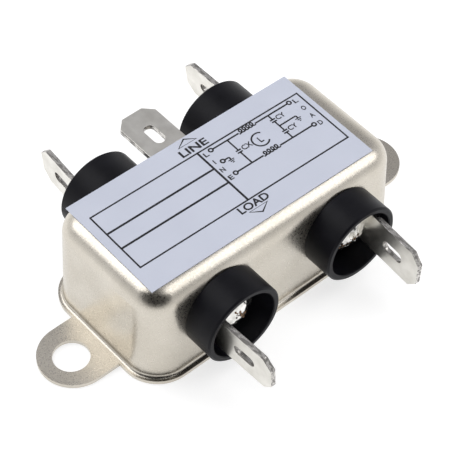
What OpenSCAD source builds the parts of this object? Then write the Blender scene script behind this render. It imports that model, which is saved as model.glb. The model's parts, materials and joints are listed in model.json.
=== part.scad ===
// Chassis-mount EMI line filter in a drawn can, with tab terminals in insulating cups.
// Millimetres. X runs along the can, +Y is the line side, -Y the load side, +Z is up.
// The origin is the centre of the mounting face, midway between the two ear holes.

/* [Can] */
// Length of the can at its foot
can_length = 44.4; // [43:0.2:56]
// Width of the can at its foot
can_width = 22.3; // [21.5:0.1:30]
// Height of the can over its top
can_height = 16; // [15.4:0.2:22]
// Inward lean of the drawn walls, in degrees
can_draft = 2.2; // [0:0.1:3]
// Thickness of the drawn sheet
sheet = 0.6; // [0.4:0.05:0.7]
// Outside radius of the top edges
top_radius = 2.9; // [2:0.1:3.2]
// Outside radius of the upright corners at the foot
corner_radius = 4.8; // [4.6:0.1:6]
// Width of the trimmed lip left round the foot
lip_width = 0.68; // [0.6:0.02:1.2]
// Radius between the wall and the lip
lip_bend = 0.5; // [0.3:0.05:0.6]

/* [Mounting ears] */
// Distance of each mounting hole's centre past the end of the can
hole_reach = 4.8; // [4.4:0.1:8]
// Diameter of each mounting hole
hole_d = 5.1; // [3.2:0.1:5.5]
// Width of each ear
ear_width = 10.1; // [9:0.1:12]
// How far each ear's round end lies past its hole centre
ear_reach = 4.55; // [4:0.05:6]

/* [Cups] */
// Height of the cups' axes over the mounting face
cup_z = 8.7; // [8:0.1:9.4]
// Outside diameter of each cup
cup_d = 12.1; // [11.5:0.1:14.6]
// Thickness of each cup's rim wall
cup_wall = 0.9; // [0.7:0.05:1.2]
// Gap between the earth tab and the cup on either side of it
cup_gap = 1.15; // [0.8:0.05:3]
// How far each cup's rim stands out of the can's wall
cup_proud = 4.63; // [3.6:0.01:7]
// How far each cup's floor lies outside the can's wall
cup_floor = 0.68; // [0.5:0.01:1]
// Width of the shoulder by which each cup bears on the can round its hole
cup_shoulder = 1.55; // [0.7:0.05:1.75]

/* [Blades] */
// Width of the tab blades
blade_width = 6.3; // [5.2:0.1:7.6]
// Thickness of the tab blades
blade_thick = 0.8; // [0.5:0.05:1]
// How far the blades' tips reach past the cups' rims
blade_reach = 8.55; // [7:0.05:12]
// Gap between each blade's outboard corners and the wall of its cup
blade_gap = 0.4; // [0.35:0.05:0.8]
// Length of the corner cuts at a blade's tip
tip_cut = 1.43; // [0.8:0.01:1.6]
// Length of the latch slot in each blade
slot_length = 3.7; // [3:0.1:4]
// Width of the latch slot in each blade
slot_width = 1.7; // [1.4:0.1:2]
// Distance of the latch slot's middle from the tip
slot_setback = 5; // [4.5:0.1:5.4]
// Twist and toe-in of the load-side left blade, in degrees
set_load_left = [-4, -2]; // [-8:0.5:8]
// Twist and toe-in of the load-side right blade, in degrees
set_load_right = [-1.5, -4]; // [-8:0.5:8]
// Twist and toe-in of the line-side left blade, in degrees
set_line_left = [-4, -4.5]; // [-8:0.5:8]
// Twist and toe-in of the line-side right blade, in degrees
set_line_right = [7.5, -0.5]; // [-8:0.5:8]

/* [Earth tab] */
// Height of the earth tab's middle plane
earth_z = 11.8; // [11:0.1:12.4]
// How far the earth tab's tip reaches past the foot of the can's wall
earth_reach = 9.15; // [8:0.05:15]
// Length of the foot that is welded to the wall
earth_foot = 6.5; // [4:0.1:8]
// Inside radius of the earth tab's bend
earth_bend = 0.8; // [0.5:0.05:1]

/* [Label] */
// Distance of the label's ends and sides inside the can's outline
label_inset = [3.3, 2.2]; // [1.5:0.1:8]
// Thickness of the label
label_thick = 0.12; // [0.08:0.01:0.2]
// How far the label was stuck off the middle, along X and Y
label_shift = [-0.6, 0.6]; // [-1:0.1:1]
// How far the label was stuck askew, in degrees
label_skew = -0.7; // [-1:0.1:1]

/* [Choke] */
// Outside diameter of the ferrite ring
core_d = 15; // [13:0.1:15.4]
// Bore of the ferrite ring
core_bore_d = 7.6; // [7.4:0.1:8]
// Height of the ferrite ring
core_height = 8; // [6.6:0.1:8.4]
// Diameter of the winding wire
wire_d = 1; // [0.8:0.05:1]
// Turns in each winding
turns = 7; // [4:1:7]

/* [Capacitors] */
// Thickness, width and height of the line capacitor
x_cap = [5, 13, 10.5]; // [4:0.1:13]
// Diameter of the two disc capacitors
disc_d = 8.8; // [7:0.1:9]
// Thickness of the two disc capacitors
disc_thick = 3.4; // [2.5:0.1:3.6]
// Diameter of the capacitor leads
lead_d = 0.7; // [0.5:0.05:0.8]

/* [Hidden] */

ROUND = 96;
LINE = 1;
LOAD = -1;
LEFT = -1;
RIGHT = 1;

// Clearances
snug = 0.05;
slip = 0.15;
// An arc drawn this much proud of its tangents crosses them cleanly
arc_ease = 0.002;
// Overlap of a cutter past the face it cuts
past = 1;

// Can
corner_x = can_length / 2 - corner_radius;
corner_y = can_width / 2 - corner_radius;
lean = tan(can_draft);
top_centre_z = can_height - top_radius;
top_centre_r = corner_radius - (top_radius + sin(can_draft) * top_centre_z) / cos(can_draft);
lip_centre_z = sheet + lip_bend;
lip_centre_r = corner_radius + (lip_bend - sin(can_draft) * lip_centre_z) / cos(can_draft);
ceiling_z = can_height - sheet;

// Outside face of the long walls, and inside face of any wall, at height z
function wall_y(z) = can_width / 2 - z * lean;
function inner_half(outer, z) = outer / 2 - z * lean - sheet / cos(can_draft);

// Mounting holes
hole_pitch = can_length + 2 * hole_reach;

// Closing plate and resin bed
plate_lift = 0.3;
plate_thick = 0.5;
bed_bottom = plate_lift + plate_thick;
bed_depth = 3;
bed_top = bed_bottom + bed_depth;
resin_under_parts = 0.55;
part_foot_z = bed_bottom + resin_under_parts;
insulator_thick = 0.25;
insulator_inset = 0.6;

// Cups
cup_x = blade_width / 2 + cup_gap + cup_d / 2;
cup_bore_d = cup_d - 2 * cup_wall;
cup_hole_d = cup_d - 2 * cup_shoulder;
cup_wall_y = wall_y(cup_z);
cup_rim_y = cup_wall_y + cup_proud;
cup_floor_y = cup_wall_y + cup_floor;
spigot_reach = 1.2;
spigot_end_y = cup_wall_y - sheet - spigot_reach;
spigot_bead = 0.35;
bead_length = 0.6;
bead_fall = 0.2;
rim_break = 0.25;

// Blades, whose outboard corners clear the cup's wall by blade_gap
blade_corner_r = cup_bore_d / 2 - blade_gap;
blade_x = sqrt(pow(blade_corner_r, 2) - pow(blade_width / 2, 2)) - blade_thick / 2;
blade_seat_y = cup_floor_y + snug;
blade_tip_y = cup_rim_y + blade_reach;
tongue_width = 3.4;
tongue_reach = 0.6;
tongue_end_y = spigot_end_y - tongue_reach;
earth_tip_y = can_width / 2 + earth_reach;

// Solder mounds, which lie against the blades, and where the wire and the lead come up
// through each cup's floor
mound_radius = 3.7;
mound_bite = 1.05;
mound_sink = 1;
mound_x = blade_x - blade_thick / 2 - mound_radius + mound_bite;
mound_centre = [mound_x, 0.4, cup_floor_y - mound_sink];
wire_spot = [mound_x - 0.7, 0.7];
lead_spot = [mound_x + 1.3, -0.7];
wire_stand = 1.5;
wire_tip_y = cup_floor_y + wire_stand;

// Choke
winding_gap = 0.2;
turn_gap = 0.06;
core_mid_r = (core_d + core_bore_d) / 4;
core_half = (core_d - core_bore_d) / 4;
core_bevel = 0.95;
loop_out = core_half + wire_d / 2 + winding_gap;
loop_up = core_height / 2 + wire_d / 2 + winding_gap;
choke_r = core_mid_r + loop_out + wire_d / 2;
choke_z = part_foot_z + loop_up + wire_d / 2;
choke_top_z = choke_z + loop_up + wire_d / 2;
turn_pitch = (wire_d + turn_gap) / (core_mid_r - loop_out) * 180 / PI;
first_turn = 180 - turn_pitch * turns / 2;
rings_per_turn = 12;
separator_thick = 0.8;

// Capacitors
cap_gap = 2.6;
disc_gap = 0.7;
x_cap_x = -(choke_r + cap_gap + x_cap.x / 2);
x_cap_top = part_foot_z + x_cap.z + snug;
x_cap_lead_inset = 1.5;
x_cap_lead_y = x_cap.y / 2 - x_cap_lead_inset;
disc_inner_x = choke_r + cap_gap + disc_thick / 2;
disc_outer_x = disc_inner_x + disc_thick + disc_gap;
disc_z = part_foot_z + disc_d / 2;
disc_lead_y = 2.5;
disc_lead_z = disc_z + sqrt(pow(disc_d / 2, 2) - pow(disc_lead_y - lead_d / 2, 2)) + snug;

// Heights at which the long leads cross over the choke
lead_stub = 0.3;
low_level = max(choke_top_z, x_cap_top + lead_stub) + slip + lead_d / 2;
middle_level = low_level + lead_d + slip;
high_level = middle_level + lead_d + slip;
lead_rise = 1.1;
lead_run = 0.6;

// Earth joint on the inside of the line-side wall
joint_radius = 1.8;
joint_sink = 0.2;
joint_y = inner_half(can_width, earth_z);
joint_depth = 0.8;
joint_spread = 0.8 * lead_d;

// ---- Sweeps ----

function unit(v) = v / norm(v);
function across(v, t) = unit(v - t * (v * t));
function tangent(path, i) =
    unit(path[min(i + 1, len(path) - 1)] - path[max(i - 1, 0)]);
function bezier(a, b, c, d, steps) =
    [for (i = [0 : steps]) let (s = i / steps, q = 1 - s)
        q * q * q * a + 3 * q * q * s * b + 3 * q * s * s * c + s * s * s * d];
// Line from a part's lead to a point that it enters along Y, crossing over at a level height
function lead_route(from, level, enter, side) =
    let (
        across = [enter.x - from.x, enter.y - from.y, 0],
        rise = [from.x, from.y, level] + 0.25 * across,
        fall = [from.x, from.y, level] + 0.75 * across
    )
    concat(
        [from],
        bezier(from + [0, 0, lead_stub], [from.x, from.y, level], rise - across / 8, rise, 7),
        bezier(fall, fall + across / 8, enter - [0, 2.2 * side, 0], enter, 8)
    );
function without_last(path) = [for (i = [0 : len(path) - 2]) path[i]];

// A round wire of diameter d along a path, with the given number of flats
module wire(path, d, flats = 8) {
    count = len(path);
    start = tangent(path, 0);
    side = abs(start.z) < 0.9 ? [0, 0, 1] : [1, 0, 0];
    normals = [for (i = 0, n = across(side, start); i < count;
        i = i + 1, n = i < count ? across(n, tangent(path, i)) : n) n];
    points = [for (i = [0 : count - 1], k = [0 : flats - 1])
        path[i] + d / 2 * (cos(360 * k / flats) * normals[i]
            + sin(360 * k / flats) * cross(tangent(path, i), normals[i]))];
    sides = [for (i = [0 : count - 2], k = [0 : flats - 1])
        let (a = i * flats, b = a + flats, n = (k + 1) % flats)
        [a + k, b + k, b + n, a + n]];
    ends = [[for (k = [0 : flats - 1]) k],
        [for (k = [flats - 1 : -1 : 0]) (count - 1) * flats + k]];
    polyhedron(points, concat(sides, ends));
}

// ---- Can ----

// Half section of the walls and top, solid, drawn inward by inset
module can_profile(inset) {
    r = top_radius - inset;
    foot = corner_radius - inset / cos(can_draft);
    intersection() {
        translate([top_centre_r, top_centre_z]) circle(r = r + arc_ease, $fn = ROUND);
        square([corner_radius, can_height + past]);
    }
    polygon([
        [0, 0], [foot, 0],
        [top_centre_r + r * cos(can_draft), top_centre_z + r * sin(can_draft)],
        [top_centre_r, top_centre_z],
        [top_centre_r, can_height - inset], [0, can_height - inset]
    ]);
}

// Section of the drawn sheet, from the lip round the foot to the flat top
module can_section() {
    difference() {
        union() {
            can_profile(0);
            square([corner_radius + lip_width, sheet]);
            square([lip_centre_r, lip_centre_z]);
        }
        difference() {
            can_profile(sheet);
            translate([-past, ceiling_z]) square([corner_radius, past]);
        }
        translate([0, -past]) square([corner_radius - sheet / cos(can_draft), past]);
        translate([lip_centre_r, lip_centre_z]) circle(r = lip_bend + arc_ease, $fn = ROUND);
    }
}

module can_side(length) {
    rotate([90, 0, 0]) linear_extrude(length, center = true) can_section();
}

module can_shell() {
    for (sx = [-1, 1]) {
        translate([sx * corner_x, 0, 0]) rotate([0, 0, sx > 0 ? 0 : 180]) can_side(2 * corner_y);
    }
    for (sy = [-1, 1]) {
        translate([0, sy * corner_y, 0]) rotate([0, 0, sy * 90]) can_side(2 * corner_x);
    }
    for (quarter = [0 : 3]) {
        sx = quarter == 0 || quarter == 3 ? 1 : -1;
        sy = quarter < 2 ? 1 : -1;
        translate([sx * corner_x, sy * corner_y, 0]) rotate([0, 0, 90 * quarter])
            rotate_extrude(angle = 90, $fn = ROUND) can_section();
    }
    translate([-corner_x, -corner_y, ceiling_z]) cube([2 * corner_x, 2 * corner_y, sheet]);
}

module ear(end) {
    root = can_length / 2 - sheet / 2;
    round_x = hole_pitch / 2 + ear_reach - ear_width / 2;
    mirror([end < 0 ? 1 : 0, 0, 0]) linear_extrude(sheet) {
        translate([root, -ear_width / 2]) square([round_x - root, ear_width]);
        translate([round_x, 0]) circle(d = ear_width, $fn = ROUND);
    }
}

module case() {
    color("silver") difference() {
        union() {
            can_shell();
            for (end = [LEFT, RIGHT]) ear(end);
        }
        for (end = [LEFT, RIGHT]) {
            translate([end * hole_pitch / 2, 0, -past])
                cylinder(d = hole_d, h = sheet + 2 * past, $fn = ROUND);
            translate([end * cup_x, 0, cup_z]) rotate([90, 0, 0])
                cylinder(d = cup_hole_d, h = can_width + 2 * past, center = true, $fn = ROUND);
        }
    }
}

// Rounded rectangle that stays inside the can's walls by gap at height z
module inside_outline(z, gap) {
    half_x = inner_half(can_length, z) - gap;
    half_y = inner_half(can_width, z) - gap;
    r = corner_radius - z * lean - sheet / cos(can_draft) - gap;
    for (sx = [-1, 1], sy = [-1, 1]) {
        translate([sx * (half_x - r), sy * (half_y - r)]) circle(r = r + arc_ease, $fn = ROUND);
    }
    square([2 * half_x, 2 * (half_y - r)], center = true);
    square([2 * (half_x - r), 2 * half_y], center = true);
}

module base_plate() {
    color("gainsboro") translate([0, 0, plate_lift])
        linear_extrude(plate_thick) inside_outline(bed_bottom, slip);
}

module potting() {
    color("dimgray") difference() {
        translate([0, 0, bed_bottom]) linear_extrude(bed_top - bed_bottom) inside_outline(bed_top, snug);
        translate([0, 0, part_foot_z - snug])
            cylinder(r = choke_r + snug, h = bed_top, $fn = ROUND);
        translate([x_cap_x - x_cap.x / 2 - snug, -x_cap.y / 2 - snug, part_foot_z - snug])
            cube([x_cap.x + 2 * snug, x_cap.y + 2 * snug, bed_top]);
        for (x = [disc_inner_x, disc_outer_x]) disc(x, snug);
    }
}

module top_insulator() {
    half_x = corner_x + top_centre_r - insulator_inset;
    half_y = corner_y + top_centre_r - insulator_inset;
    color("khaki") translate([-half_x, -half_y, ceiling_z - insulator_thick - snug])
        cube([2 * half_x, 2 * half_y, insulator_thick]);
}

module label() {
    length = can_length - 2 * label_inset.x;
    width = can_width - 2 * label_inset.y;
    color("lavender") translate([label_shift.x, label_shift.y, can_height + arc_ease])
        rotate([0, 0, label_skew]) translate([-length / 2, -width / 2, 0])
            cube([length, width, label_thick]);
}

// ---- Cups, blades and solder ----

// Local frame of a cup: x outboard, y up, z out of the can from its middle plane
module at_cup(side, end) {
    mirror([0, side == LINE ? 1 : 0, 0]) mirror([end == LEFT ? 1 : 0, 0, 0])
        translate([cup_x, 0, cup_z]) rotate([90, 0, 0]) children();
}

// Everything inside the slanting outer face of the load-side wall
module behind_wall() {
    rotate([90, 0, 90]) linear_extrude(can_length, center = true)
        polygon([[0, 0], [-wall_y(0), 0], [-wall_y(can_height), can_height], [0, can_height]]);
}

// Local frame of a blade's seat on the floor of its cup, twisted and toed in as soldered
module at_blade(set) {
    translate([blade_x, 0, blade_seat_y]) rotate([0, set[1], 0]) rotate([0, 0, set[0]]) children();
}

// Flat outline of a tab, with its tip at [0, 0] and its body towards -y
module tab_outline(length) {
    half = blade_width / 2;
    difference() {
        polygon([
            [-half, -length], [half, -length], [half, -tip_cut],
            [half - tip_cut, 0], [tip_cut - half, 0], [-half, -tip_cut]
        ]);
        for (s = [-1, 1]) {
            translate([0, -slot_setback + s * (slot_length - slot_width) / 2])
                circle(d = slot_width + 2 * arc_ease, $fn = ROUND);
        }
        translate([0, -slot_setback]) square([slot_width, slot_length - slot_width], center = true);
    }
}

module blade_body() {
    length = blade_tip_y - blade_seat_y;
    tongue = blade_seat_y - tongue_end_y;
    rotate([90, 0, 90]) linear_extrude(blade_thick, center = true) {
        translate([0, length]) tab_outline(length);
        translate([-tongue_width / 2, -tongue]) square([tongue_width, tongue + past]);
    }
}

module blade(side, end, set) {
    color("lightgray") at_cup(side, end) at_blade(set) blade_body();
}

module cup(side, end, set) {
    r = cup_d / 2;
    bore = cup_bore_d / 2;
    spigot = cup_hole_d / 2 - snug;
    collar_y = cup_wall_y - past;
    color([0.1, 0.1, 0.11]) mirror([0, side == LINE ? 1 : 0, 0]) mirror([end == LEFT ? 1 : 0, 0, 0])
    difference() {
        union() {
            difference() {
                cup_frame() rotate_extrude($fn = ROUND) polygon([
                    [0, collar_y], [r, collar_y], [r, cup_rim_y - rim_break],
                    [r - rim_break, cup_rim_y], [bore + rim_break / 2, cup_rim_y],
                    [bore, cup_rim_y - rim_break / 2], [bore, cup_floor_y], [0, cup_floor_y]
                ]);
                translate([cup_x, 0, 0]) behind_wall();
            }
            cup_frame() rotate_extrude($fn = ROUND) polygon([
                [0, spigot_end_y], [spigot, spigot_end_y],
                [spigot + spigot_bead, spigot_end_y + bead_length],
                [spigot, spigot_end_y + bead_length + bead_fall],
                [spigot, cup_floor_y], [0, cup_floor_y]
            ]);
        }
        cup_frame() {
            for (hole = [[wire_spot, wire_d], [lead_spot, lead_d]]) {
                translate([hole[0].x, hole[0].y, spigot_end_y - past])
                    cylinder(d = hole[1] + 2 * snug, h = cup_floor_y - spigot_end_y + 2 * past, $fn = 48);
            }
            at_blade(set) cube([
                blade_thick + 2 * snug, tongue_width + 2 * snug,
                2 * (blade_seat_y - tongue_end_y + snug)
            ], center = true);
        }
    }
}

module cup_frame() {
    translate([cup_x, 0, cup_z]) rotate([90, 0, 0]) children();
}

module solder(side, end, set) {
    color("white") at_cup(side, end) difference() {
        intersection() {
            translate(mound_centre) sphere(r = mound_radius, $fn = 48);
            translate([0, 0, cup_floor_y]) cylinder(d = cup_bore_d - 2 * snug, h = mound_radius, $fn = ROUND);
        }
        at_blade(set) translate([-blade_thick / 2, -cup_bore_d / 2, -mound_radius])
            cube([cup_bore_d, cup_bore_d, 3 * mound_radius]);
        for (hole = [[wire_spot, wire_d], [lead_spot, lead_d]]) {
            translate([hole[0].x, hole[0].y, cup_floor_y - past])
                cylinder(d = hole[1], h = wire_tip_y - cup_floor_y + past, $fn = 48);
        }
    }
}

// ---- Earth tab ----

module earth_tab() {
    t = blade_thick;
    top = earth_z + t / 2;
    // centre of the bend, one inside radius off both faces that it joins
    bend_z = earth_z - t / 2 - earth_bend;
    bend_y = wall_y(0) + snug + (t + earth_bend - bend_z * sin(can_draft)) / cos(can_draft);
    tab_length = earth_tip_y - bend_y;
    color("gainsboro") {
        translate([0, earth_tip_y, earth_z - t / 2]) linear_extrude(t) tab_outline(tab_length);
        translate([0, bend_y, bend_z]) rotate([90, 0, 90]) linear_extrude(blade_width, center = true) {
            intersection() {
                difference() {
                    circle(r = earth_bend + t, $fn = ROUND);
                    circle(r = earth_bend, $fn = ROUND);
                }
                polygon([
                    [arc_ease, 0], [arc_ease, top], [-top, top], [-top, 0],
                    [-top * cos(can_draft), -top * sin(can_draft) - arc_ease], [0, -arc_ease]
                ]);
            }
            rotate(can_draft) translate([-earth_bend - t, -earth_foot]) square([t, earth_foot]);
        }
    }
}

// A dome of solder, flat against the wall, with the two earth leads running into it
module earth_joint() {
    color("white") difference() {
        translate([0, joint_y - snug, earth_z]) rotate([can_draft + 90, 0, 0]) rotate_extrude($fn = 48)
            intersection() {
                translate([0, -joint_sink]) circle(r = joint_radius, $fn = 48);
                square(joint_radius);
            }
        for (s = [-1, 1]) {
            translate([s * joint_spread, joint_y - joint_depth, earth_z - s * joint_spread])
                rotate([90, 0, 0]) cylinder(d = lead_d, h = joint_radius, $fn = 48);
        }
    }
}

// ---- Choke ----

module core() {
    a = core_half;
    b = core_height / 2;
    c = core_bevel;
    color([0.2, 0.3, 0.25]) translate([0, 0, choke_z]) rotate_extrude($fn = ROUND)
        translate([core_mid_r, 0]) polygon([
            [-a, c - b], [c - a, -b], [a - c, -b], [a, c - b],
            [a, b - c], [a - c, b], [c - a, b], [-a, b - c]
        ]);
}

module separator() {
    half = core_bore_d / 2 - slip;
    color("tan") translate([-separator_thick / 2, -half, choke_z - loop_up])
        cube([separator_thick, 2 * half, 2 * loop_up]);
}

// Signed power, for loops that hug a square section
function squared(v) = sign(v) * sqrt(abs(v));

// Point on a winding: around is the angle round the ring, about the angle round its section
function turn_point(around, about) =
    let (r = core_mid_r + loop_out * squared(cos(about)))
    [r * cos(around), r * sin(around), choke_z + loop_up * squared(sin(about))];

function cup_point(side, end, spot, y) =
    [end * (cup_x + spot.x), side * y, cup_z + spot.y];

// Left winding: out of the line cup, round the ring, and into the load cup
module winding_path_left() {
    steps = turns * rings_per_turn;
    coil = [for (i = [0 : steps])
        turn_point(first_turn + turn_pitch * i / rings_per_turn, 360 * i / rings_per_turn)];
    enter = cup_point(LINE, LEFT, wire_spot, spigot_end_y);
    leave = cup_point(LOAD, LEFT, wire_spot, spigot_end_y);
    lead_in = bezier(enter, enter - [0, 1.4, 0], coil[0] - [2.2, -0.4, 2], coil[0], 8);
    lead_out = bezier(coil[steps], coil[steps] + [-2.2, -0.4, 2], leave + [0, 1.4, 0], leave, 8);
    wire(concat(
        [cup_point(LINE, LEFT, wire_spot, wire_tip_y)], without_last(lead_in),
        without_last(coil), lead_out, [cup_point(LOAD, LEFT, wire_spot, wire_tip_y)]
    ), wire_d);
}

module winding(end) {
    color("peru") mirror([end == RIGHT ? 1 : 0, 0, 0]) winding_path_left();
}

// ---- Capacitors ----

module x_capacitor() {
    color("goldenrod") translate([x_cap_x - x_cap.x / 2, -x_cap.y / 2, part_foot_z]) cube(x_cap);
}

module disc(x, grow) {
    translate([x, 0, disc_z]) rotate([0, 90, 0])
        cylinder(d = disc_d + 2 * grow, h = disc_thick + 2 * grow, center = true, $fn = ROUND);
}

module disc_capacitor(x) {
    color("steelblue") disc(x, 0);
}

// A lead from a capacitor into a cup's solder
module lead_to_cup(from, level, side, end) {
    enter = cup_point(side, end, lead_spot, spigot_end_y - lead_run);
    tip = cup_point(side, end, lead_spot, wire_tip_y);
    color("silver") wire(concat(lead_route(from, level, enter, side), [tip]), lead_d);
}

// A lead from a disc into the joint on the wall
module lead_to_earth(x, level, row) {
    tip = [row * joint_spread, joint_y - joint_depth, earth_z - row * joint_spread];
    enter = tip - [0, joint_radius, 0];
    route = lead_route([x, disc_lead_y, disc_lead_z], level, enter, LINE);
    color("silver") wire(concat(route, [tip]), lead_d);
}

// ---- Assembly ----

case();
base_plate();
potting();
top_insulator();
label();
cup(LINE, LEFT, set_line_left);  // cup_line_left
cup(LINE, RIGHT, set_line_right);  // cup_line_right
cup(LOAD, LEFT, set_load_left);  // cup_load_left
cup(LOAD, RIGHT, set_load_right);  // cup_load_right
blade(LINE, LEFT, set_line_left);  // blade_line_left
blade(LINE, RIGHT, set_line_right);  // blade_line_right
blade(LOAD, LEFT, set_load_left);  // blade_load_left
blade(LOAD, RIGHT, set_load_right);  // blade_load_right
solder(LINE, LEFT, set_line_left);  // solder_line_left
solder(LINE, RIGHT, set_line_right);  // solder_line_right
solder(LOAD, LEFT, set_load_left);  // solder_load_left
solder(LOAD, RIGHT, set_load_right);  // solder_load_right
earth_tab();
earth_joint();
core();
separator();
winding(LEFT);  // winding_left
winding(RIGHT);  // winding_right
x_capacitor();
lead_to_cup([x_cap_x, x_cap_lead_y, x_cap_top], x_cap_top + lead_rise, LINE, LEFT);  // x_lead_left
lead_to_cup([x_cap_x, -x_cap_lead_y, x_cap_top], low_level, LINE, RIGHT);  // x_lead_right
disc_capacitor(disc_inner_x);  // disc_capacitor_inner
disc_capacitor(disc_outer_x);  // disc_capacitor_outer
lead_to_cup([disc_outer_x, -disc_lead_y, disc_lead_z], low_level, LOAD, LEFT);  // disc_lead_load_left
lead_to_cup([disc_inner_x, -disc_lead_y, disc_lead_z], disc_lead_z + lead_rise, LOAD, RIGHT);  // disc_lead_load_right
lead_to_earth(disc_inner_x, high_level, -1);  // disc_lead_earth_inner
lead_to_earth(disc_outer_x, middle_level, 1);  // disc_lead_earth_outer
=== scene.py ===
"""Looks of a chassis-mount line filter: satin nickel can, black cups, tinned blades and a printed label."""
import json
import random
from math import cos, pi, radians, sin

import bmesh
import bpy
from mathutils import Matrix, Vector, noise


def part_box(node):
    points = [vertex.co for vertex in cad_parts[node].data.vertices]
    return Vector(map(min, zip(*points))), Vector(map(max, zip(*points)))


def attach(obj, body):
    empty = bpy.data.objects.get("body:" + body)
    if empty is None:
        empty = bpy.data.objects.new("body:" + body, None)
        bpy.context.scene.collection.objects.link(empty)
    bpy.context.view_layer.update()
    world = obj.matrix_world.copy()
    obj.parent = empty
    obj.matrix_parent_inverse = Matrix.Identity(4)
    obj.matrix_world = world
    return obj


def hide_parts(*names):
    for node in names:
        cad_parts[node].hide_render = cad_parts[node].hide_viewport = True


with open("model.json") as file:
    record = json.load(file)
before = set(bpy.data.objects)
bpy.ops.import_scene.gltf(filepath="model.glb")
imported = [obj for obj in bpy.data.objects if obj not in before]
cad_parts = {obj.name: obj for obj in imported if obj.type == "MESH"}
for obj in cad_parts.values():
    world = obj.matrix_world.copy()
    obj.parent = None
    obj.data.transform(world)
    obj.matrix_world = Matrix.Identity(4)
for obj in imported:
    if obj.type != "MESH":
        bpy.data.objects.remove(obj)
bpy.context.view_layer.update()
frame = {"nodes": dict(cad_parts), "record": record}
nodes = frame["nodes"]

MM = 0.001
SIDES = {"line": 1, "load": -1}
ENDS = {"left": -1, "right": 1}
CUPS = [(side, end) for side in SIDES for end in ENDS]

# Edges that turn more than SHARP degrees stay crisp, faces that turn less than FLAT become one.
SHARP, FLAT = 32, 0.3

# Distance within which points are welded, and widths of the broken edges, in mm.
WELD = 0.0005
TAB_EDGE, CAN_EDGE, EDGE_STEPS = 0.07, 0.06, 2

# Solder: height in mm and fineness of each size of lump, then how far it climbs the blade and
# spreads inboard, the gap to the blade, and where in the noise each cup's lump starts.
LUMPS = ((0.34, 1.7), (0.13, 4.1), (0.05, 10))
CLIMB, CLIMB_KEENNESS, CLIMB_TOWARD = 0.75, 6, Vector((0.75, 0.55, 0.36)).normalized()
FOOT, FOOT_KEENNESS = 1.8, 2
BLADE_GAP = 0.01
FIRST_SEED, SEED_STEP = 3.7, 11.3

# Burnt flux: a band of crumbs inboard of the lump's middle, in mm.
CRUMBS = 46
CRUMB_ALONG, CRUMB_FOOT, CRUMB_SLOPE, CRUMB_SCATTER = (-2.9, 0.2), -1.9, 0.85, 0.28
CRUMB_SIZE, CRUMB_SINK = (0.09, 0.24), 0.4

# Ink: its thickness, the lift of its middle over the film, the turn of the print, and pen widths.
INK, INK_LIFT, PRINT_SKEW = 0.012, 0.008, -1.0
FRAME_PEN, RULE_PEN, WIRE_PEN, SIGN_PEN, COIL_PEN, EARTH_PEN = 0.34, 0.32, 0.26, 0.24, 0.22, 0.16


# ---- Camera, floor and light ----

AZIMUTH, ELEVATION, ROLL = radians(-41.98), radians(50.15), radians(1.42)
DISTANCE = 253.15 * MM
AIM = Vector((2.07, 2.44, 2.67)) * MM
LENS, SENSOR = 145.57, 36

# Sky colours, the heights between which it fades, and how far round the camera it is dark.
HORIZON, OVERHEAD, ROOM = (0.92, 0.92, 0.92), (0.42, 0.42, 0.44), (0.01, 0.01, 0.01)
FADE_FROM, FADE_TO = 0.15, 0.65
ROOM_EDGE, ROOM_CORE = cos(radians(54)), cos(radians(38))

FLOOR_HALF, FLOOR_DROP, FLOOR_GLOW = 1500 * MM, 0.05 * MM, 0.72

# Name, azimuth and elevation in degrees, distance, width and height in mm, radiance, seen in gloss.
LAMPS = (
    ("left_box", (-150, 52), 340, 210, 260, 2.0, True),
    ("right_box", (52, 55), 340, 210, 260, 2.0, True),
    ("fill", (20, 88), 400, 400, 400, 0.9, False),
)


def make_camera():
    back = Vector((sin(AZIMUTH) * cos(ELEVATION), -cos(AZIMUTH) * cos(ELEVATION), sin(ELEVATION)))
    level = Vector((cos(AZIMUTH), sin(AZIMUTH), 0))
    upward = back.cross(level)
    right = level * cos(ROLL) + upward * sin(ROLL)
    up = upward * cos(ROLL) - level * sin(ROLL)
    data = bpy.data.cameras.new("camera")
    data.lens, data.sensor_width = LENS, SENSOR
    data.clip_start, data.clip_end = 10 * MM, 10
    camera = bpy.data.objects.new("camera", data)
    bpy.context.collection.objects.link(camera)
    turn = Matrix((right, up, back)).transposed().to_4x4()
    camera.matrix_world = Matrix.Translation(AIM + back * DISTANCE) @ turn
    bpy.context.scene.camera = camera


def direction(azimuth, elevation):
    """Unit vector at an azimuth from -Y towards +X and an elevation over the floor."""
    return Vector((sin(azimuth) * cos(elevation), -cos(azimuth) * cos(elevation), sin(elevation)))


def softbox(name, bearing, distance, width, height, radiance, glossy):
    """Rectangular lamp that faces the part. Without glossy it fills in light but no reflection."""
    data = bpy.data.lights.new(name, "AREA")
    data.shape, data.size, data.size_y = "RECTANGLE", width * MM, height * MM
    data.energy = radiance * pi * data.size * data.size_y
    lamp = bpy.data.objects.new(name, data)
    bpy.context.collection.objects.link(lamp)
    bearing = direction(radians(bearing[0]), radians(bearing[1]))
    turn = (-bearing).to_track_quat("-Z", "Y").to_matrix().to_4x4()
    lamp.matrix_world = Matrix.Translation(bearing * distance * MM) @ turn
    lamp.visible_glossy = glossy


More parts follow.
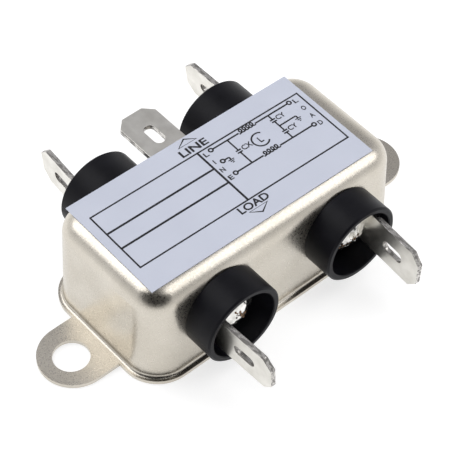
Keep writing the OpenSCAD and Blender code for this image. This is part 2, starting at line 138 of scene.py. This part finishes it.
def make_sky():
    """White at the horizon, grey overhead, and dark round the camera."""
    world = bpy.data.worlds.new("studio")
    bpy.context.scene.world = world
    world.use_nodes = True
    tree = world.node_tree
    toward = node(tree, "ShaderNodeTexCoord").outputs["Generated"]
    parts = node(tree, "ShaderNodeSeparateXYZ")
    tree.links.new(toward, parts.inputs["Vector"])
    height = spread(tree, parts.outputs["Z"], FADE_FROM, FADE_TO, 0, 1)
    open_sky = mix(tree, height, HORIZON, OVERHEAD)
    facing = node(tree, "ShaderNodeVectorMath", operation="DOT_PRODUCT")
    tree.links.new(toward, facing.inputs[0])
    facing.inputs[1].default_value = direction(AZIMUTH, ELEVATION)
    dark = spread(tree, facing.outputs["Value"], ROOM_EDGE, ROOM_CORE, 0, 1)
    backdrop = tree.nodes["Background"]
    tree.links.new(mix(tree, dark, open_sky, ROOM), backdrop.inputs["Color"])


def make_studio():
    make_sky()
    for lamp in LAMPS:
        softbox(*lamp)
    mesh = bpy.data.meshes.new("floor")
    bm = bmesh.new()
    bmesh.ops.create_grid(bm, x_segments=1, y_segments=1, size=FLOOR_HALF)
    bmesh.ops.translate(bm, verts=bm.verts, vec=(0, 0, -FLOOR_DROP))
    bm.to_mesh(mesh)
    bm.free()
    floor = bpy.data.objects.new("floor", mesh)
    bpy.context.collection.objects.link(floor)
    floor.data.materials.append(light_table())
    bpy.context.scene.view_settings.view_transform = "Standard"


# ---- Materials ----

def new_material(name):
    material = bpy.data.materials.new(name)
    material.use_nodes = True
    tree = material.node_tree
    return material, tree, tree.nodes["Principled BSDF"]


def plain(name, color, rough):
    material, _, shader = new_material(name)
    shader.inputs["Base Color"].default_value = (*color, 1)
    shader.inputs["Roughness"].default_value = rough
    return material


def light_table():
    """White sheet that glows a little, so that the part's shadow stays faint."""
    material = plain("light_table", (0.45, 0.45, 0.45), 0.6)
    shader = material.node_tree.nodes["Principled BSDF"]
    shader.inputs["Emission Color"].default_value = (1, 1, 1, 1)
    shader.inputs["Emission Strength"].default_value = FLOOR_GLOW
    return material


def node(tree, kind, **values):
    made = tree.nodes.new(kind)
    for key, value in values.items():
        socket = key.replace("_", " ")
        if socket in made.inputs:
            made.inputs[socket].default_value = value
        else:
            setattr(made, key, value)
    return made


def grain(tree, size, detail=3, stretch=(1, 1, 1), rough=0.5):
    """Noise whose features are size millimetres across, drawn out by stretch."""
    place = node(tree, "ShaderNodeTexCoord")
    turn = node(tree, "ShaderNodeMapping")
    turn.inputs["Scale"].default_value = [1 / (size * MM * s) for s in stretch]
    tree.links.new(place.outputs["Object"], turn.inputs["Vector"])
    made = node(tree, "ShaderNodeTexNoise", Scale=1.0, Detail=detail, Roughness=rough)
    tree.links.new(turn.outputs["Vector"], made.inputs["Vector"])
    return made.outputs["Fac"]


def spread(tree, value, low, high, new_low, new_high):
    made = node(tree, "ShaderNodeMapRange")
    for socket, number in zip(("From Min", "From Max", "To Min", "To Max"), (low, high, new_low, new_high)):
        made.inputs[socket].default_value = number
    tree.links.new(value, made.inputs["Value"])
    return made.outputs["Result"]


def mix(tree, share, first, second):
    made = node(tree, "ShaderNodeMix", data_type="RGBA")
    for socket, value in (("A", first), ("B", second)):
        target = [s for s in made.inputs if s.name == socket and s.type == "RGBA"][0]
        if isinstance(value, tuple):
            target.default_value = (*value, 1)
        else:
            tree.links.new(value, target)
    tree.links.new(share, made.inputs["Factor"])
    return [s for s in made.outputs if s.type == "RGBA"][0]


def bump(tree, shader, height, depth, strength=1.0, under=None):
    made = node(tree, "ShaderNodeBump", Strength=strength, Distance=depth * MM)
    tree.links.new(height, made.inputs["Height"])
    if under:
        tree.links.new(under, made.inputs["Normal"])
    tree.links.new(made.outputs["Normal"], shader.inputs["Normal"])
    return made.outputs["Normal"]


def satin_nickel():
    material, tree, shader = new_material("satin_nickel")
    shader.inputs["Metallic"].default_value = 1
    cloud = spread(tree, grain(tree, 6, 3), 0.35, 0.65, 0, 1)
    tree.links.new(mix(tree, cloud, (0.585, 0.545, 0.475), (0.65, 0.61, 0.54)), shader.inputs["Base Color"])
    fine = grain(tree, 0.22, 4)
    tree.links.new(spread(tree, fine, 0.3, 0.7, 0.24, 0.38), shader.inputs["Roughness"])
    drawn = grain(tree, 0.35, 2, (1, 1, 9))
    under = bump(tree, shader, drawn, 0.012, 0.5)
    bump(tree, shader, fine, 0.012, 0.8, under)
    return material


def tinned_brass():
    material, tree, shader = new_material("tinned_brass")
    shader.inputs["Metallic"].default_value = 1
    cloud = spread(tree, grain(tree, 2.5, 4), 0.35, 0.65, 0, 1)
    tree.links.new(mix(tree, cloud, (0.68, 0.66, 0.61), (0.82, 0.80, 0.75)), shader.inputs["Base Color"])
    rolled = grain(tree, 0.16, 3, (1, 6, 1))
    tree.links.new(spread(tree, rolled, 0.3, 0.7, 0.28, 0.42), shader.inputs["Roughness"])
    bump(tree, shader, rolled, 0.008, 0.7)
    return material


def moulded_black():
    material, tree, shader = new_material("moulded_black")
    cloud = spread(tree, grain(tree, 3, 3), 0.3, 0.7, 0, 1)
    tint = mix(tree, cloud, (0.004, 0.004, 0.006), (0.008, 0.008, 0.011))
    tree.links.new(tint, shader.inputs["Base Color"])
    shader.inputs["Specular IOR Level"].default_value = 0.13
    fine = grain(tree, 0.12, 3)
    tree.links.new(spread(tree, fine, 0.3, 0.7, 0.34, 0.46), shader.inputs["Roughness"])
    bump(tree, shader, fine, 0.006, 0.6)
    return material


def bright_solder():
    material, tree, shader = new_material("bright_solder")
    shader.inputs["Metallic"].default_value = 1
    cloud = spread(tree, grain(tree, 0.9, 4), 0.35, 0.7, 0, 1)
    tree.links.new(mix(tree, cloud, (0.62, 0.61, 0.58), (0.88, 0.87, 0.84)), shader.inputs["Base Color"])
    shader.inputs["Roughness"].default_value = 0.16
    bump(tree, shader, grain(tree, 0.5, 3), 0.05, 0.6)
    return material


def label_film():
    material, tree, shader = new_material("label_film")
    cloud = spread(tree, grain(tree, 8, 2), 0.3, 0.7, 0, 1)
    tree.links.new(mix(tree, cloud, (0.57, 0.60, 0.70), (0.60, 0.63, 0.73)), shader.inputs["Base Color"])
    shader.inputs["Roughness"].default_value = 0.42
    bump(tree, shader, grain(tree, 0.2, 3), 0.003, 0.5)
    return material


def plain_grained(name, dark, light, rough, size, metal=0.0):
    """Finish of one colour that varies in grains of size millimetres."""
    material, tree, shader = new_material(name)
    shader.inputs["Metallic"].default_value = metal
    fine = grain(tree, size, 3)
    tree.links.new(mix(tree, spread(tree, fine, 0.3, 0.7, 0, 1), dark, light), shader.inputs["Base Color"])
    shader.inputs["Roughness"].default_value = rough
    bump(tree, shader, fine, 0.02, 0.5)
    return material


def sheared_edge():
    """Cut edge of a tinned strip, dull where it tore and bright where the punch rubbed it."""
    material, tree, shader = new_material("sheared_edge")
    shader.inputs["Metallic"].default_value = 1
    torn = spread(tree, grain(tree, 0.35, 4, (1, 3, 1)), 0.42, 0.58, 0, 1)
    tree.links.new(mix(tree, torn, (0.26, 0.25, 0.24), (0.66, 0.64, 0.61)), shader.inputs["Base Color"])
    tree.links.new(spread(tree, torn, 0, 1, 0.55, 0.25), shader.inputs["Roughness"])
    bump(tree, shader, grain(tree, 0.12, 3), 0.02, 0.7)
    return material


def burnt_flux():
    material, tree, shader = new_material("burnt_flux")
    burnt = spread(tree, grain(tree, 0.4, 3), 0.4, 0.6, 0, 1)
    tree.links.new(mix(tree, burnt, (0.03, 0.012, 0.004), (0.24, 0.12, 0.04)), shader.inputs["Base Color"])
    shader.inputs["Roughness"].default_value = 0.22
    bump(tree, shader, grain(tree, 0.15, 2), 0.02, 0.6)
    return material


COPPER_DARK, COPPER_LIGHT = (0.45, 0.15, 0.05), (0.62, 0.24, 0.08)
MATERIALS = {
    "nickel": satin_nickel(),
    "tinned_brass": tinned_brass(),
    "black_plastic": moulded_black(),
    "solder": bright_solder(),
    "label_film": label_film(),
    "resin": plain_grained("cast_resin", (0.03, 0.03, 0.035), (0.06, 0.06, 0.065), 0.45, 0.8),
    "board": plain_grained("pressed_board", (0.58, 0.47, 0.27), (0.70, 0.60, 0.38), 0.7, 0.3),
    "ferrite": plain_grained("coated_ferrite", (0.05, 0.08, 0.06), (0.08, 0.12, 0.10), 0.5, 0.3),
    "enamelled_copper": plain_grained("enamelled_copper", COPPER_DARK, COPPER_LIGHT, 0.25, 0.5, 1.0),
    "film_box": plain_grained("film_box", (0.68, 0.42, 0.04), (0.80, 0.52, 0.06), 0.4, 0.3),
    "disc_coating": plain_grained("disc_coating", (0.04, 0.14, 0.38), (0.06, 0.20, 0.48), 0.3, 0.4),
    "tinned_wire": plain_grained("tinned_wire", (0.55, 0.54, 0.52), (0.68, 0.67, 0.64), 0.3, 0.3, 1.0),
}
SHEARED = sheared_edge()
PRINT = plain_grained("label_ink", (0.006, 0.006, 0.009), (0.014, 0.014, 0.018), 0.4, 0.25)
FLUX = burnt_flux()
SLOTS = {part["node"]: part["material_slot"] for part in frame["record"]["subparts"]}


# ---- Pieces ----

def piece(name, bm, materials, stands_for=None):
    """Object from a bmesh in the part's own frame, riding on the part."""
    mesh = bpy.data.meshes.new(name)
    bm.to_mesh(mesh)
    bm.free()
    for material in materials:
        mesh.materials.append(material)
    mesh.polygons.foreach_set("use_smooth", [True] * len(mesh.polygons))
    mesh.set_sharp_from_angle(angle=radians(SHARP))
    made = bpy.data.objects.new(name, mesh)
    bpy.context.collection.objects.link(made)
    made.modifiers.new("flat faces stay flat", "WEIGHTED_NORMAL").keep_sharp = True
    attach(made, "root")
    if stands_for:
        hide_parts(stands_for)
    return made


def merged_copy(name):
    """The node's own shape as one closed skin with whole flat faces."""
    bm = bmesh.new()
    bm.from_mesh(nodes[name].data)
    bmesh.ops.remove_doubles(bm, verts=bm.verts, dist=WELD * MM)
    bmesh.ops.dissolve_limit(bm, angle_limit=radians(FLAT), verts=bm.verts, edges=bm.edges)
    return bm


def break_edges(bm, width):
    closed = [edge for edge in bm.edges if len(edge.link_faces) == 2]
    sharp = [edge for edge in closed if edge.calc_face_angle() > radians(SHARP)]
    bmesh.ops.bevel(
        bm, geom=sharp, offset=width * MM, offset_type="OFFSET", segments=EDGE_STEPS, profile=0.5,
        affect="EDGES", clamp_overlap=True, material=-1,
    )


def broad_face(name, toward):
    """Middle and normal of the faces of a node that look towards a direction."""
    faces = [f for f in nodes[name].data.polygons if f.normal.dot(toward) > 0.95]
    area = sum(f.area for f in faces)
    normal = sum((f.normal * f.area for f in faces), Vector()).normalized()
    return sum((f.center * f.area for f in faces), Vector()) / area, normal


def make_tab(name, across):
    """A stamped tab whose broad faces look along a direction. The rest of its skin was sheared."""
    _, broad = broad_face(name, across)
    bm = merged_copy(name)
    for face in bm.faces:
        face.material_index = 0 if abs(face.normal.dot(broad)) > 0.5 else 1
    break_edges(bm, TAB_EDGE)
    return piece(name + "_stamped", bm, [MATERIALS["tinned_brass"], SHEARED], name)


def make_can():
    bm = merged_copy("case")
    break_edges(bm, CAN_EDGE)
    return piece("drawn_can", bm, [MATERIALS["nickel"]], "case")


# ---- Solder ----

class Mound:
    """A lump of solder on the floor of a cup, against the blade. Its frame is outboard, up, outward."""

    def __init__(self, side, end, seed):
        self.side, self.end, self.seed = side, end, seed
        self.outboard, self.outward = Vector((ENDS[end], 0, 0)), Vector((0, SIDES[side], 0))
        low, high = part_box(f"solder_{side}_{end}")
        self.floor = low.y if SIDES[side] > 0 else -high.y
        stand, half = high.y - low.y, (high.z - low.z) / 2
        self.radius = (stand ** 2 + half ** 2) / (2 * stand)
        level = Vector((0, 0, (low.z + high.z) / 2))
        middle = level + self.outward * (self.floor + stand - self.radius)
        self.blade_point, self.blade_normal = broad_face(f"blade_{side}_{end}", -self.outboard)
        inner = min(abs(low.x), abs(high.x))
        self.centre = middle + self.outboard * (inner + half)

    def reach(self, toward):
        """Distance from the middle to the skin along a unit direction in the part's frame."""
        local = Vector((toward.dot(self.outboard), toward.z, toward.dot(self.outward)))
        swirl = local + Vector((self.seed, 0, 0))
        lumps = sum(height * noise.noise(swirl * fineness) for height, fineness in LUMPS)
        climb = CLIMB * max(0, local.dot(CLIMB_TOWARD)) ** CLIMB_KEENNESS
        near_floor = max(0, 1 - abs(local.z)) * (1 - max(0, local.y) / 2)
        foot = FOOT * max(0, -local.x) ** FOOT_KEENNESS * near_floor
        return self.radius + (lumps + climb + foot) * MM

    def skin(self, across, up):
        """Point on the skin over a spot given outboard and up from the middle, in millimetres."""
        rest = max(self.radius ** 2 - (across * MM) ** 2 - (up * MM) ** 2, 0) ** 0.5
        offset = self.outboard * across * MM + Vector((0, 0, up * MM)) + self.outward * rest
        toward = offset.normalized()
        return self.centre + toward * self.reach(toward)

    def cut(self, bm, point, normal):
        """Takes away what lies beyond a plane, and closes the cut."""
        done = bmesh.ops.bisect_plane(
            bm, geom=bm.verts[:] + bm.edges[:] + bm.faces[:], plane_co=point, plane_no=normal,
            clear_outer=True,
        )
        rim = [cut for cut in done["geom_cut"] if isinstance(cut, bmesh.types.BMEdge)]
        bmesh.ops.edgeloop_fill(bm, edges=rim)

    def make(self):
        bm = bmesh.new()
        bmesh.ops.create_icosphere(bm, subdivisions=6, radius=1)
        for vert in bm.verts:
            toward = vert.co.normalized()
            vert.co = self.centre + toward * self.reach(toward)
        self.cut(bm, self.outward * self.floor, -self.outward)
        self.cut(bm, self.blade_point + self.blade_normal * BLADE_GAP * MM, -self.blade_normal)
        bmesh.ops.recalc_face_normals(bm, faces=bm.faces)
        name = f"solder_{self.side}_{self.end}"
        return piece(name + "_lump", bm, [MATERIALS["solder"]], name)

    def make_flux(self):
        """Burnt flux in crumbs along the inboard foot of the lump."""
        chance = random.Random(int(self.seed * 10))
        bm = bmesh.new()
        for _ in range(CRUMBS):
            along = chance.uniform(*CRUMB_ALONG)
            up = CRUMB_FOOT + (along - CRUMB_ALONG[0]) * CRUMB_SLOPE + chance.gauss(0, CRUMB_SCATTER)
            size = chance.uniform(*CRUMB_SIZE) * MM
            spot = Matrix.Translation(self.skin(along, up) - self.outward * size * CRUMB_SINK)
            spin = Matrix.Rotation(chance.uniform(0, 2 * pi), 4, "Z")
            tip = Matrix.Rotation(chance.uniform(0, pi), 4, "X")
            squash = Matrix.Diagonal((1, chance.uniform(0.6, 1), chance.uniform(0.5, 0.9), 1))
            place = spot @ spin @ tip @ squash
            bmesh.ops.create_icosphere(bm, subdivisions=2, radius=size, matrix=place)
        return piece(f"flux_{self.side}_{self.end}", bm, [FLUX])


# ---- Print on the label ----

class Sheet:
    """Draws on the label's top face, in millimetres from its middle, x along it and y across it."""

    def __init__(self):
        low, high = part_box("label")
        middle = Vector(((low.x + high.x) / 2, (low.y + high.y) / 2, high.z + INK_LIFT * MM))
        turn = Matrix.Rotation(radians(PRINT_SKEW), 4, "Z")
        self.place = Matrix.Translation(middle) @ turn @ Matrix.Scale(MM, 4)
        self.bm = bmesh.new()

    def take(self, curve, place_of):
        """Adds a curve's mesh, placed on the label by what place_of gives for that mesh."""
        holder = bpy.data.objects.new("drawing", curve)
        mesh = bpy.data.meshes.new_from_object(holder)
        mesh.transform(self.place @ place_of(mesh))
        self.bm.from_mesh(mesh)
        bpy.data.objects.remove(holder)
        bpy.data.meshes.remove(mesh)

    def line(self, points, pen, closed=False):
        """Pen stroke through points, pressed from a round section to the thickness of ink."""
        curve = bpy.data.curves.new("line", "CURVE")
        curve.dimensions = "3D"
        curve.bevel_depth, curve.bevel_resolution, curve.use_fill_caps = pen / 2, 1, True
        spline = curve.splines.new("POLY")
        spline.points.add(len(points) - 1)
        for point, (x, y) in zip(spline.points, points):
            point.co = (x, y, 0, 1)
        spline.use_cyclic_u = closed
        self.take(curve, lambda mesh: Matrix.Diagonal((1, 1, INK / pen, 1)))

    def arc(self, x, y, radius, start=0, end=360):
        """Arc between two angles in degrees, in steps of about 10."""
        closed = end - start == 360
        steps = max(12, int((end - start) / 10))
        count = steps if closed else steps + 1
        turns = [radians(start + (end - start) * step / steps) for step in range(count)]
        points = [(x + radius * cos(turn), y + radius * sin(turn)) for turn in turns]
        self.line(points, SIGN_PEN, closed)

    def word(self, text, x, y, height, width, weight=0.02):
        """Lettering from its lower left corner, drawn out to a height and a width."""
        curve = bpy.data.curves.new("word", "FONT")
        curve.body, curve.size = text, 1
        curve.extrude, curve.offset, curve.resolution_u = INK / 2, weight / height, 3

        def fit(mesh):
            xs, ys = [v.co.x for v in mesh.vertices], [v.co.y for v in mesh.vertices]
            left, foot = min(xs), min(ys)
            grow = Matrix.Diagonal((width / (max(xs) - left), height / (max(ys) - foot), 1, 1))
            return Matrix.Translation((x, y, 0)) @ grow @ Matrix.Translation((-left, -foot, 0))

        self.take(curve, fit)

    def bar(self, x, y, width, pen=SIGN_PEN):
        self.line([(x - width / 2, y), (x + width / 2, y)], pen)

    def capacitor(self, x, y, gap=0.4, width=0.85):
        self.bar(x, y - gap / 2, width)
        self.bar(x, y + gap / 2, width)

    def earth(self, x, y, drop=0.5, row_step=0.26):
        """Earth sign that hangs from a point."""
        self.line([(x, y), (x, y - drop)], SIGN_PEN)
        for row, width in enumerate((0.95, 0.6, 0.28)):
            self.bar(x, y - drop - row_step * row, width, EARTH_PEN)

    def coil(self, start, end, y, loops=4, steps=20, half_width=0.34, half_height=0.36):
        """Row of open loops that stands on a level."""
        pitch = (end - start) / (loops + 0.5)
        path = [(start, y)]
        for step in range(loops * steps + 1):
            turn = 2 * pi * step / steps - pi / 2
            along = start + pitch * (0.25 + step / steps)
            path.append((along + half_width * cos(turn), y + half_height + half_height * sin(turn)))
        self.line(path + [(end, y)], COIL_PEN)


def print_frame(sheet):
    """Outer frame, its rules, and the words and arrows of the two sides."""
    left, right, foot, top = -17.5, 18.0, -5.0, 5.5
    divider, upper_row, lower_row = 0.38, 1.95, -1.08
    sheet.line([(left, foot), (right, foot), (right, top), (left, top)], FRAME_PEN, closed=True)
    sheet.line([(divider, foot), (divider, top)], RULE_PEN)
    for row in (upper_row, lower_row):
        sheet.line([(left, row), (divider, row)], RULE_PEN)
    sheet.word("LINE", -1.6, 5.98, 1.25, 4.5, 0.03)
    sheet.line([(-1.05, 7.68), (2.0, 7.68), (0.55, 8.65)], WIRE_PEN, closed=True)
    sheet.word("LOAD", -1.9, -6.5, 1.25, 4.9, 0.03)
    sheet.line([(-0.9, -6.75), (2.15, -6.75), (0.6, -7.72)], WIRE_PEN, closed=True)


def print_stack(sheet, word, column):
    """Word in upright letters, one under the other."""
    top, step, height, inset = 4.15, 1.72, 0.82, 0.25
    for row, letter in enumerate(word):
        slim = letter == "I"
        x = column + (inset if slim else 0)
        sheet.word(letter, x, top - step * row, height, 0.16 if slim else 0.66)


def print_schematic(sheet):
    """Two wires with a choke, a capacitor across them and two capacitors to earth."""
    live, neutral, mid = 4.8, -0.37, 2.3
    near, far, terminal = 2.15, 16.0, 0.3
    coil_start, coil_end, coil_drop = 7.0, 9.9, 0.2
    for x, y in ((near, live), (near, mid), (near, neutral), (far, live), (far, neutral)):
        sheet.arc(x, y, terminal)
    for y in (live, neutral):
        sheet.line([(near + terminal, y), (coil_start, y)], WIRE_PEN)
        sheet.line([(coil_end, y), (far - terminal, y)], WIRE_PEN)
    for y in (live, neutral):
        sheet.coil(coil_start, coil_end, y - coil_drop)
    sheet.line([(near + terminal, mid), (3.2, mid)], SIGN_PEN)
    sheet.earth(3.2, mid)

    x_cap, y_cap, earth_x, earth_y = 5.0, 12.2, 15.1, mid + 0.08
    for start, end in ((live, 2.47), (2.07, neutral)):
        sheet.line([(x_cap, start), (x_cap, end)], SIGN_PEN)
    sheet.capacitor(x_cap, 2.27)
    sheet.word("CX", 5.6, 1.95, 0.9, 1.6)
    for start, end in ((live, 3.82), (3.42, 1.3), (0.9, neutral)):
        sheet.line([(y_cap, start), (y_cap, end)], SIGN_PEN)
    for y in (3.62, 1.1):
        sheet.capacitor(y_cap, y)
    for y in (3.3, 0.75):
        sheet.word("CY", 12.75, y, 0.85, 1.45)
    sheet.line([(y_cap, earth_y), (earth_x, earth_y)], SIGN_PEN)
    sheet.earth(earth_x, earth_y)
    sheet.arc(8.6, 2.15, 1.22, 50, 322)
    sheet.word("L", 8.3, 1.6, 1.05, 0.6)


def print_label():
    sheet = Sheet()
    print_frame(sheet)
    print_stack(sheet, "LINE", 0.82)
    print_stack(sheet, "LOAD", 16.62)
    print_schematic(sheet)
    return piece("label_print", sheet.bm, [PRINT])


# ---- The part ----

for name, slot in SLOTS.items():
    mesh = nodes[name].data
    mesh.materials.clear()
    mesh.materials.append(MATERIALS[slot])

make_can()
for count, (side, end) in enumerate(CUPS):
    make_tab(f"blade_{side}_{end}", Vector((1, 0, 0)))
    mound = Mound(side, end, FIRST_SEED + SEED_STEP * count)
    mound.make()
    mound.make_flux()
make_tab("earth_tab", Vector((0, 0, 1)))
print_label()
make_camera()
make_studio()
